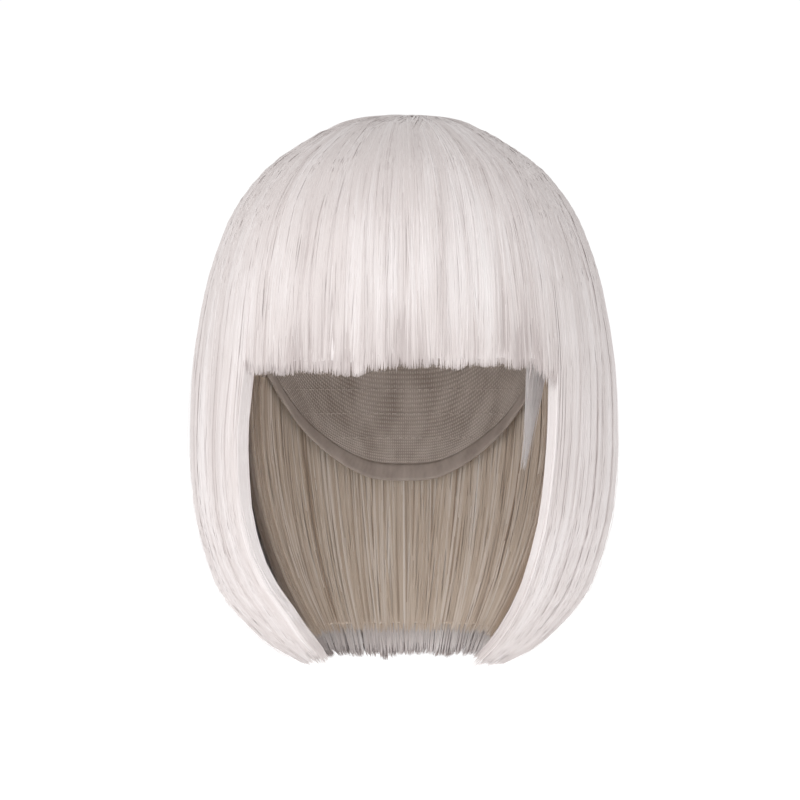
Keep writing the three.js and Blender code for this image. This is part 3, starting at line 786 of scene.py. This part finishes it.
def packed_hair(name, start, end, hem_depth, tips, rows, columns_per_lock, form):
    """Closed wall of packed hair between two edges, from the whorl to the hem"""
    locks = lock_count(start, end, HAIR_HALF_WIDTH)
    share = np.linspace(0, 1, locks * columns_per_lock + 1)[None, :]
    last = hair_row(hem_depth + 0.4 * tip_reach(share, locks, tips) - 5 * MM)
    u = blend(0.8, last, np.linspace(0, 1, rows)[:, None])
    angle = blend(start(u), end(u), share)
    depth = hair_depth(angle, u)
    groove = LOCK_GROOVE * lock_grooves(share, u, locks, form)
    outer = lifted(hair_point, angle, u, -0.5 * MM - groove)
    inner = lifted(hair_point, angle, u, -np.maximum(depth * hem_thinning(u, last), groove + 1.6 * MM))
    step = np.linalg.norm(np.diff(outer[:, columns_per_lock], axis=0), axis=-1)
    length = np.concatenate([[0], np.cumsum(step)])[:, None]
    wide = float(end(0.0) - start(0.0)) * HAIR_HALF_WIDTH
    lay = np.stack(np.broadcast_arrays(share * wide, length), -1)
    piece = shell_piece(name, outer, inner, lay)
    piece.data.materials.append(platinum_mass)
    return piece


def loose_hair(name, start, end, hem_depth, tips, count, points, form, seed, ragged, even=0.0,
               tip=0.1, painted_groove_shade=0.16, painted_tip_shade=0.08, corner=0.0, face_edge=None, tip_lean=0.0,
               inside=False, share_range=(0, 1)):
    """Bundles combed from the whorl to the hem between two edges, in locks and smaller strands"""
    random = np.random.default_rng(seed)
    locks = lock_count(start, end, HAIR_HALF_WIDTH)
    s = np.linspace(0, 1, points)[None, :]
    share = blend(*share_range, (np.arange(count) + random.random(count)) / count)[:, None]
    random.shuffle(share)

    # Small strands draw together towards their tips
    strands = locks * STRANDS_PER_LOCK
    strand = np.clip((share * strands).astype(int), 0, strands - 1)
    centre = (strand + 0.5 + random.uniform(-0.25, 0.25, strands)[strand]) / strands
    draw = random.uniform(0.15, 0.6, strands)[strand]
    drift = random.normal(0, 0.22, (count, 1)) / locks * (s - 0.35)
    sway = random.uniform(-1, 1, strands)[strand] * 0.04 / locks * np.sin(2.2 * np.pi * s)
    across = share + (centre - share) * draw * smooth(s, 0.7, 1) + drift * smooth(s, 0, 0.3) + sway
    across = np.clip(across, -0.004, 1.004)
    if face_edge is not None:
        away = 2 * face_edge - 1
        near = 1 - smooth(np.abs(share - face_edge), 0, 0.14)
        across = across + away * tip_lean * near * smooth(s, 0.72, 1)
        on_edge = (np.abs(share - face_edge) < 0.05) & (random.random((count, 1)) < 0.6)
        across = np.where(on_edge, face_edge + away * (0.002 + tip_lean * smooth(s, 0.72, 1)), across)

    uneven = random.normal(0, 0.45, strands)[strand] * ragged
    short = np.abs(random.normal(0, 1, (count, 1))) * ragged
    reach = tip_reach(np.clip(share, 0, 0.999), locks, tips) * (1 - even) + 0.5 * TIP_SPREAD * even
    longer = corner * smooth(share, 0.92, 1) * random.random((count, 1))
    last = hair_row(hem_depth + reach + uneven + longer - short)
    first = 0.1 + 3.6 * random.random((count, 1)) ** 2.6
    if inside:
        first = first * 0 + 6.5
    u = blend(first, last, s)
    angle = blend(start(u), end(u), across)

    lay_height = random.normal(0, 1, (count, 1)) * LAY_SPREAD
    stray = random.random((count, 1)) < (0 if inside else STRAY_SHARE)
    ripple = np.interp(share * strands, np.arange(strands + 1), random.uniform(0, 2 * np.pi, strands + 1))
    swell = STRAND_SWELL * np.sin(ripple + 3 * np.pi * s)
    groove = LOCK_GROOVE * lock_grooves(across, u, locks, form)
    rooted = ROOT_SINK * (1 - smooth(s, 0, 0.1))
    astray = stray * random.uniform(0.6, 2.6, (count, 1)) * MM * smooth(s, 0.2, 0.7)
    parted = valley(share, strands) * random.random(strands)[strand] ** 1.5 * smooth(s, 0.66, 0.95)
    height = -0.3 * MM + lay_height + swell - groove - rooted + astray - PARTING_DEPTH * parted
    if face_edge is not None:
        height = np.where(on_edge, -hair_depth(angle, u) * random.random((count, 1)), height)
    if inside:
        height = -hair_depth(angle, np.minimum(u, last)) * hem_thinning(u, last) - lay_height
    lines, facing = combed(hair_point, angle, u, height)
    facing = -facing if inside else facing
    if face_edge is not None:
        sideways = away * (hair_point(angle + 0.01, u) - hair_point(angle - 0.01, u))
        sideways /= np.linalg.norm(sideways, axis=-1, keepdims=True)
        facing = np.where(on_edge[..., None], sideways, facing)

    # Painted shade: the tone darkens where small strands part near their tips, and along the last part of each
    # bundle towards its tip.
    tone = 0.52 + random.normal(0, 0.06, (count, 1)) - 0.5 * parted - painted_tip_shade * smooth(s, 0.72, 1)
    # Painted shade: the tone darkens in the grooves between locks. Painted light: bundles on the inside are 0.3
    # lighter, to brighten the shaded inside of the hair.
    tone = tone - painted_groove_shade * groove / LOCK_GROOVE + (0.3 if inside else 0)
    for cells, depth in (((locks, 2), 0.05), ((2 * locks, 4), 0.06), ((strands, 5), 0.07)):
        tone = tone + soft_field(across, s, cells, random, depth)
    spread = blend(0.4, 1, smooth(u, 0.2, 3)) * np.where(stray, 0.35, 1)
    thickness = taper(count, points, random, tip) * spread
    return bundles(name, (lines, facing), thickness, np.clip(tone, 0, 1), BUNDLE_RADIUS, platinum)


bangs_base = packed_hair("bangs_base", part_left, part_right, BANGS_DEPTH, BANGS_TIPS, 34, 8, form=3)
bangs_strands = loose_hair(
    "bangs_strands", part_left, part_right, BANGS_DEPTH, BANGS_TIPS,
    count=1400, points=18, form=3, seed=21,
    ragged=0.8 * MM, tip=0.05, painted_groove_shade=0.45, painted_tip_shade=0.3, corner=14 * MM,
)

for piece in (bangs_base, bangs_strands):
    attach(piece, "root")
    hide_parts("bangs")

# ---------------------------------------------------------------------------------------------
# Side curtains. Straight hair that falls beside the face from the parting to the jaw, and is
# heat-set to curl in at its hem. The edge beside the face is cut straight down.
# ---------------------------------------------------------------------------------------------

BACK_ANGLE = math.radians(112)
HEM_TIPS = np.array([0.2, 1, 0.5, 0.8, 0, 0.6, 0.9, 0.3])
CURTAIN_DEPTH = HEM_DEPTH - TIP_SPREAD


def face_left(u):
    return np.minimum(-np.radians(section_at(HAIR_SECTIONS, u)[..., 6]), part_left(u))


def face_right(u):
    return np.maximum(np.radians(section_at(HAIR_SECTIONS, u)[..., 7]), part_right(u))


def back_left(u):
    return np.full_like(np.asarray(u, float), -BACK_ANGLE)


def back_right(u):
    return np.full_like(np.asarray(u, float), BACK_ANGLE)


for side, start, end, face_edge, tip_lean, form, seed in (
    ("side_left", back_left, face_left, 1, 0.034, 4, 31),
    ("side_right", face_right, back_right, 0, 0.016, 5, 41),
):
    base = packed_hair(side + "_base", start, end, CURTAIN_DEPTH, HEM_TIPS, 44, 8, form)
    strands = loose_hair(
        side + "_strands", start, end, CURTAIN_DEPTH, HEM_TIPS,
        count=1150, points=20, form=form, seed=seed, ragged=1.7 * MM, even=0.65, painted_groove_shade=0.3,
        face_edge=face_edge, tip_lean=tip_lean,
    )
    lining = loose_hair(
        side + "_lining", start, end, CURTAIN_DEPTH, HEM_TIPS,
        count=260, points=13, form=form, seed=seed + 1, ragged=1.6 * MM, even=0.65, inside=True,
    )
    for piece in (base, strands, lining):
        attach(piece, "root")
        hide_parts(side)

# ---------------------------------------------------------------------------------------------
# Back. The same straight hair from one curtain round to the other, full over the back of the head
# and curled in at the nape.
# ---------------------------------------------------------------------------------------------


def round_back(u):
    return 2 * np.pi + back_left(u)


back_base = packed_hair("back_base", back_right, round_back, CURTAIN_DEPTH, HEM_TIPS, 44, 7, form=6)
back_pieces = [back_base]
for half, share_range, seed in (("back_strands_right", (0, 0.5), 51), ("back_strands_left", (0.5, 1), 61)):
    back_pieces.append(loose_hair(
        half, back_right, round_back, CURTAIN_DEPTH, HEM_TIPS,
        count=920, points=18, form=6, seed=seed, ragged=1.5 * MM, even=0.65, share_range=share_range,
    ))
back_pieces.append(loose_hair(
    "back_lining", back_right, round_back, CURTAIN_DEPTH, HEM_TIPS,
    count=640, points=10, form=6, seed=53, ragged=1.6 * MM, even=0.65, inside=True,
))
for piece in back_pieces:
    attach(piece, "root")
    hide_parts("back")

# ---------------------------------------------------------------------------------------------
# Under layer. Shorter rows of darker taupe fibre sewn along the cap's lower edge; the taupe is
# partly the fibre's own colour and partly painted shade for the shadowed inside of the wig. They
# hang inside the sides and the back, and close the wig towards the neck.
# ---------------------------------------------------------------------------------------------

LAYER_TOP = 95 * MM
LAYER_SHORTER = 15.5 * MM
LAYER_WALL = 6 * MM
LAYER_HALF_ANGLE = math.radians(116)
LAYER_SECTIONS = np.array([
    [0.0, 1.04, 1.04, 1.045, 1.0],
    [0.15, 1.1, 1.03, 1.085, 1.0],
    [0.3, 1.115, 0.95, 1.06, 1.0],
    [0.48, 1.085, 0.88, 1.0, 1.0],
    [0.66, 1.0, 0.78, 0.93, 0.95],
    [0.82, 0.87, 0.66, 0.85, 0.85],
    [0.93, 0.74, 0.55, 0.76, 0.7],
    [1.0, 0.64, 0.47, 0.7, 0.6],
])
LAYER_LAST = len(LAYER_SECTIONS) - 1


def layer_point(angle, u):
    section = section_at(LAYER_SECTIONS, u)
    return section_point(
        angle, section, HEAD_HALF_WIDTH, HEAD_FRONT_REACH, HEAD_BACK_REACH,
        -LAYER_TOP - section[..., 0] * (HEM_DEPTH - LAYER_SHORTER - LAYER_TOP))


def layer_wall(u):
    return section_at(LAYER_SECTIONS, u)[..., 4] * LAYER_WALL


# Shaded modacrylic fibre: taupe to tan, partly its own warmer colour and partly painted shade for
# the shadowed inside of the wig. It is duller than the outer hair because it is less combed
TAUPE_TONES = [(0.0, "#ab9583"), (0.4, "#d3c2b1"), (0.75, "#e6dacf"), (1.0, "#f1eae3")]
taupe = fibre_material("shaded_modacrylic_fibre", TAUPE_TONES, 0.55)
taupe_mass = combed_material("combed_shaded_hair", TAUPE_TONES, 0.65)

layer_share = np.linspace(0, 1, 151)[None, :]
layer_rows = np.linspace(0, LAYER_LAST - 0.5, 22)[:, None]
layer_angles = blend(np.pi - LAYER_HALF_ANGLE, np.pi + LAYER_HALF_ANGLE, layer_share)
layer_locks = round(2 * LAYER_HALF_ANGLE * HEAD_HALF_WIDTH / LOCK_WIDTH)
layer_groove = LOCK_GROOVE * valley(layer_share, layer_locks) * smooth(layer_rows, 1.5, 5.5)
layer_outer = lifted(layer_point, layer_angles, layer_rows, -0.5 * MM - layer_groove)
layer_inner = lifted(layer_point, layer_angles, layer_rows, -layer_wall(layer_rows) + 0.6 * MM)
layer_wide = 2 * LAYER_HALF_ANGLE * HEAD_HALF_WIDTH
layer_long = (HEM_DEPTH - LAYER_SHORTER - LAYER_TOP) / LAYER_LAST
layer_lay = np.stack(np.broadcast_arrays(layer_share * layer_wide, layer_rows * layer_long), -1)
under_layer_base = shell_piece("under_layer_base", layer_outer, layer_inner, layer_lay)
under_layer_base.data.materials.append(taupe_mass)

random = np.random.default_rng(71)
LAYER_COUNT, LAYER_POINTS = 1050, 12
s = np.linspace(0, 1, LAYER_POINTS)[None, :]
share = ((np.arange(LAYER_COUNT) + random.random(LAYER_COUNT)) / LAYER_COUNT)[:, None]
faces_in = random.random((LAYER_COUNT, 1)) < 0.62
last = LAYER_LAST - np.abs(random.normal(0, 0.13, (LAYER_COUNT, 1)))
rows = blend(random.uniform(0, 0.5, (LAYER_COUNT, 1)), last, s)
bend = random.normal(0, 0.012, (LAYER_COUNT, 1)) * smooth(s, 0.1, 1)
angle = blend(np.pi - LAYER_HALF_ANGLE, np.pi + LAYER_HALF_ANGLE, np.clip(share + bend, 0, 1))
loose = np.abs(random.normal(0, 0.4, (LAYER_COUNT, 1))) * MM
height = np.where(faces_in, -layer_wall(rows) + 0.2 * MM - loose, loose - 0.5 * MM)
at_edge = (share < 0.035) | (share > 0.965)
angle = np.where(at_edge, np.where(share < 0.5, np.pi - LAYER_HALF_ANGLE, np.pi + LAYER_HALF_ANGLE), angle)
height = np.where(at_edge, -random.random((LAYER_COUNT, 1)) * layer_wall(rows), height)
lines, facing = combed(layer_point, angle, rows, height)
facing = np.where(faces_in[..., None], -facing, facing)
under_layer_strands = bundles(
    "under_layer_strands", (lines, facing), taper(LAYER_COUNT, LAYER_POINTS, random),
    np.clip(random.normal(0.5, 0.17, (LAYER_COUNT, 1)), 0, 1), 0.6 * MM, taupe,
)

for piece in (under_layer_base, under_layer_strands):
    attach(piece, "root")
    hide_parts("under_layer")

# ---------------------------------------------------------------------------------------------
# Face lock. One thin lock sewn at the cap's front corner on the viewer's right. It hangs beside
# the face, narrows to a point and tucks in to the cheek.
# ---------------------------------------------------------------------------------------------

FACE_LOCK_TOP = 70 * MM
FACE_LOCK_LENGTH = 103 * MM
FACE_LOCK_WIDTH = 20 * MM
FACE_LOCK_WALL = 3.2 * MM
FACE_LOCK_ANGLE = 53
FACE_LOCK_LEAN = 9
FACE_LOCK_TUCK = 7 * MM

random = np.random.default_rng(81)
LOCK_COUNT, LOCK_POINTS = 150, 16
along_lock = np.linspace(0, 1, LOCK_POINTS)[None, :]
s = along_lock * (1 - 0.35 * random.random((LOCK_COUNT, 1)) ** 1.4)
angle = np.radians(FACE_LOCK_ANGLE - FACE_LOCK_LEAN * s)
centre = ring_point(
    angle, HEAD_HALF_WIDTH, HEAD_FRONT_REACH, HEAD_BACK_REACH, -FACE_LOCK_TOP - FACE_LOCK_LENGTH * s)
out = np.stack([centre[..., 0], centre[..., 1] - WHORL_Y, 0 * s], -1)
out /= np.linalg.norm(out, axis=-1, keepdims=True)
sideways = np.stack([-out[..., 1], out[..., 0], 0 * s], -1)
narrowing = blend(1, 0.17, smooth(s, 0.3, 1))
turn = random.uniform(0, 2 * np.pi, (LOCK_COUNT, 1))
from_middle = np.sqrt(random.random((LOCK_COUNT, 1)))
stand_off = CAP_WALL + CAP_BAND_WALL + 0.3 * MM + FACE_LOCK_WALL / 2 - FACE_LOCK_TUCK * s * s
in_out = stand_off - np.cos(turn) * from_middle * FACE_LOCK_WALL * 0.42 * narrowing
sweep = random.normal(0, 0.9, (LOCK_COUNT, 1)) * MM * along_lock ** 2
wave = 0.5 * MM * np.sin(random.uniform(0, 2 * np.pi, (LOCK_COUNT, 1)) + 5 * s)
left_right = np.sin(turn) * from_middle * FACE_LOCK_WIDTH * 0.46 * narrowing + sweep + wave
lock_lines = centre + out * in_out[..., None] + sideways * left_right[..., None]
# Painted light: the lock's fibre is given a tone near the lightest, to brighten it in the shade under the
# bangs.
face_lock = bundles(
    "face_lock_strands", (lock_lines, out), taper(LOCK_COUNT, LOCK_POINTS, random, 0.35),
    np.clip(random.normal(0.95, 0.15, (LOCK_COUNT, 1)), 0, 1.2), 0.5 * MM, platinum,
)
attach(face_lock, "root")
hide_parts("face_lock_right")

# ---------------------------------------------------------------------------------------------
# Studio. A wide white floor, white all round, a large soft light high in front on the left, a weak
# one under it, and a camera level with the middle of the wig.
# ---------------------------------------------------------------------------------------------

FLOOR_Z = -0.38
FLOOR_REACH = 20
# Matt white paper, with a little light of its own so that it reads as the photo's plain white
paper, tree = new_material("white_paper_floor")
finished(tree, {
    "Base Color": linear("#fafafa"), "Roughness": 0.9, "Specular IOR Level": 0.1,
    "Emission Color": (1, 1, 1, 1), "Emission Strength": 0.45,
})
floor_points = [(x * FLOOR_REACH, y * FLOOR_REACH, FLOOR_Z) for x, y in ((-1, -1), (1, -1), (1, 1), (-1, 1))]
paper_floor = mesh_piece("paper_floor", floor_points, [(0, 1, 2, 3)])
paper_floor.data.materials.append(paper)

world = bpy.data.worlds.new("studio_white")
bpy.context.scene.world = world
world.use_nodes = True
tree = world.node_tree
tree.nodes.clear()
direction = node(tree, "ShaderNodeTexCoord")
parts = node(tree, "ShaderNodeSeparateXYZ", None, Vector=direction.outputs["Generated"])
strength = node(tree, "ShaderNodeMapRange", {
    "From Min": 0.1, "From Max": 0.6, "To Min": 1.03, "To Max": 0.64,
}, Value=parts.outputs["Z"])
sky = node(tree, "ShaderNodeBackground", {"Color": (1, 1, 1, 1)}, Strength=strength.outputs["Result"])
node(tree, "ShaderNodeOutputWorld", None, Surface=sky.outputs["Background"])


def soft_light(name, location, target, size, power):
    data = bpy.data.lights.new(name, "AREA")
    data.shape = "RECTANGLE"
    data.size, data.size_y = size
    data.energy = power
    light = bpy.data.objects.new(name, data)
    light.location = location
    light.rotation_euler = (Vector(target) - Vector(location)).to_track_quat("-Z", "Y").to_euler()
    bpy.context.collection.objects.link(light)


soft_light("front_softbox", (-1.35, -1.95, 1.3), (0, 0, -0.1), (1.3, 0.9), 15)
soft_light("fill_softbox", (-0.7, -2.35, -0.18), (0, 0, -0.15), (1.2, 0.3), 4.5)

camera_data = bpy.data.cameras.new("camera")
camera_data.lens = 240
camera_data.sensor_width = 36
camera = bpy.data.objects.new("camera", camera_data)
camera.location = (-0.0021, -2.8, -0.1367)
camera.rotation_euler = (math.pi / 2, 0, 0)
bpy.context.collection.objects.link(camera)
bpy.context.scene.camera = camera
bpy.context.scene.view_settings.view_transform = "Standard"
